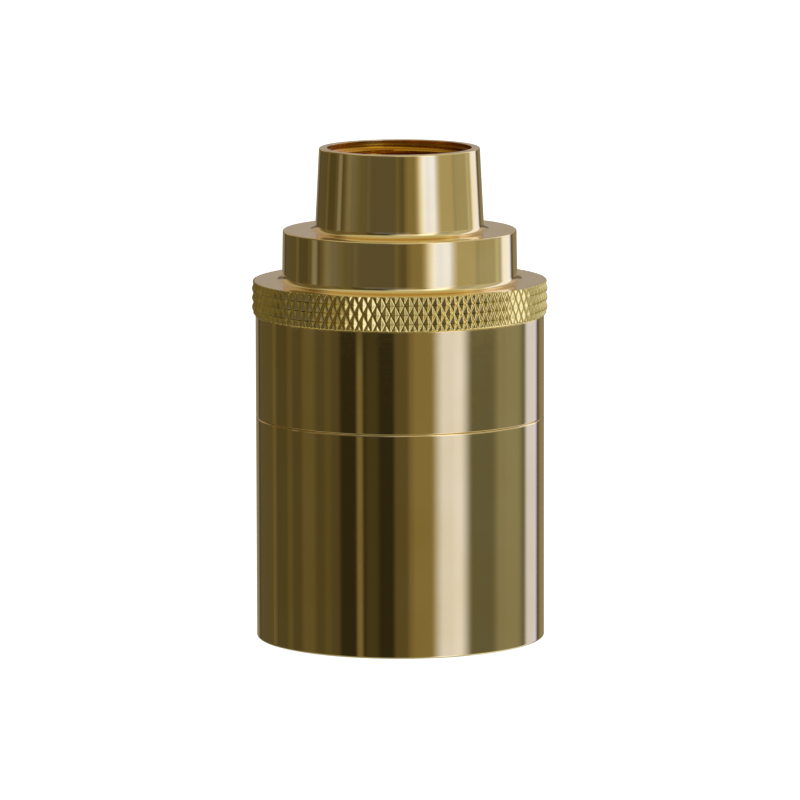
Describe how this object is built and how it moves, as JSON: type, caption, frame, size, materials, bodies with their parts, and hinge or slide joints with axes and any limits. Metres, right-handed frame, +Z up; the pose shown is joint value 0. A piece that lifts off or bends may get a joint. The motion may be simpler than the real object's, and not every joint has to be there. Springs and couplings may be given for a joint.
{
  "type": "lamp holder",
  "caption": "Turned brass lamp holder with a knurled cap, a threaded neck, a two-part shell and a porcelain interior for a screw lamp.",
  "frame": {"origin": "centre of the lower rim, in the plane that the holder stands on", "axes": "+Z up along the turning axis, towards the threaded neck; the terminals lie along X"},
  "size_m": [0.041, 0.041, 0.0682],
  "materials": {
    "polished_brass": "polished brass, lacquered",
    "thread_brass": "drawn brass, bright",
    "bronze": "phosphor bronze strip",
    "terminal_brass": "machined brass",
    "steel": "zinc plated steel",
    "porcelain": "white glazed porcelain"
  },
  "bodies": {
    "cap": {"cap": "polished_brass", "earth_washer": "steel"},
    "earth_screw": {"earth_screw": "terminal_brass"},
    "interior": {"porcelain_base": "porcelain", "screw_shell": "thread_brass", "centre_contact": "bronze", "live_terminal": "terminal_brass", "neutral_terminal": "terminal_brass", "live_fixing_screw": "steel", "neutral_fixing_screw": "steel"},
    "contact_stud": {"contact_stud": "bronze"},
    "live_terminal_screw": {"live_terminal_screw": "steel"},
    "neutral_terminal_screw": {"neutral_terminal_screw": "steel"},
    "upper_shell": {"upper_shell": "polished_brass"},
    "collar": {"porcelain_collar": "porcelain"},
    "lower_sleeve": {"lower_sleeve": "polished_brass"}
  },
  "joints": [
    {"name": "interior_slide", "type": "slide", "parent": "cap", "child": "interior", "axis": [0, 0, -1], "range_m": [0, 0.005]},
    {"name": "upper_shell_turn", "type": "hinge", "parent": "interior", "child": "upper_shell", "pos_m": [0, 0, 0.042], "axis": [0, 0, -1], "range_deg": [0, 1801]},
    {"name": "collar_slide", "type": "slide", "parent": "upper_shell", "child": "collar", "axis": [0, 0, -1], "range_m": [0, 0.005]},
    {"name": "lower_sleeve_turn", "type": "hinge", "parent": "collar", "child": "lower_sleeve", "pos_m": [0, 0, 0.028], "axis": [0, 0, -1], "range_deg": [0, 1801]},
    {"name": "contact_press", "type": "slide", "parent": "interior", "child": "contact_stud", "axis": [0, 0, 1], "range_m": [0, 0.002], "stiffness_N_per_m": 1500, "springref_m": -0.0005, "deforming": ["centre_contact"]},
    {"name": "live_screw_travel", "type": "slide", "parent": "interior", "child": "live_terminal_screw", "axis": [0, 0, 1], "range_m": [0, 0.002]},
    {"name": "neutral_screw_travel", "type": "slide", "parent": "interior", "child": "neutral_terminal_screw", "axis": [0, 0, 1], "range_m": [0, 0.002]},
    {"name": "earth_screw_travel", "type": "slide", "parent": "cap", "child": "earth_screw", "axis": [0, 0, -1], "range_m": [0, 0.003]}
  ],
  "couplings": [
    {"joint": "upper_shell_turn", "follows": "interior_slide", "rad_per_m": 6283.2},
    {"joint": "lower_sleeve_turn", "follows": "collar_slide", "rad_per_m": 6283.2}
  ]
}
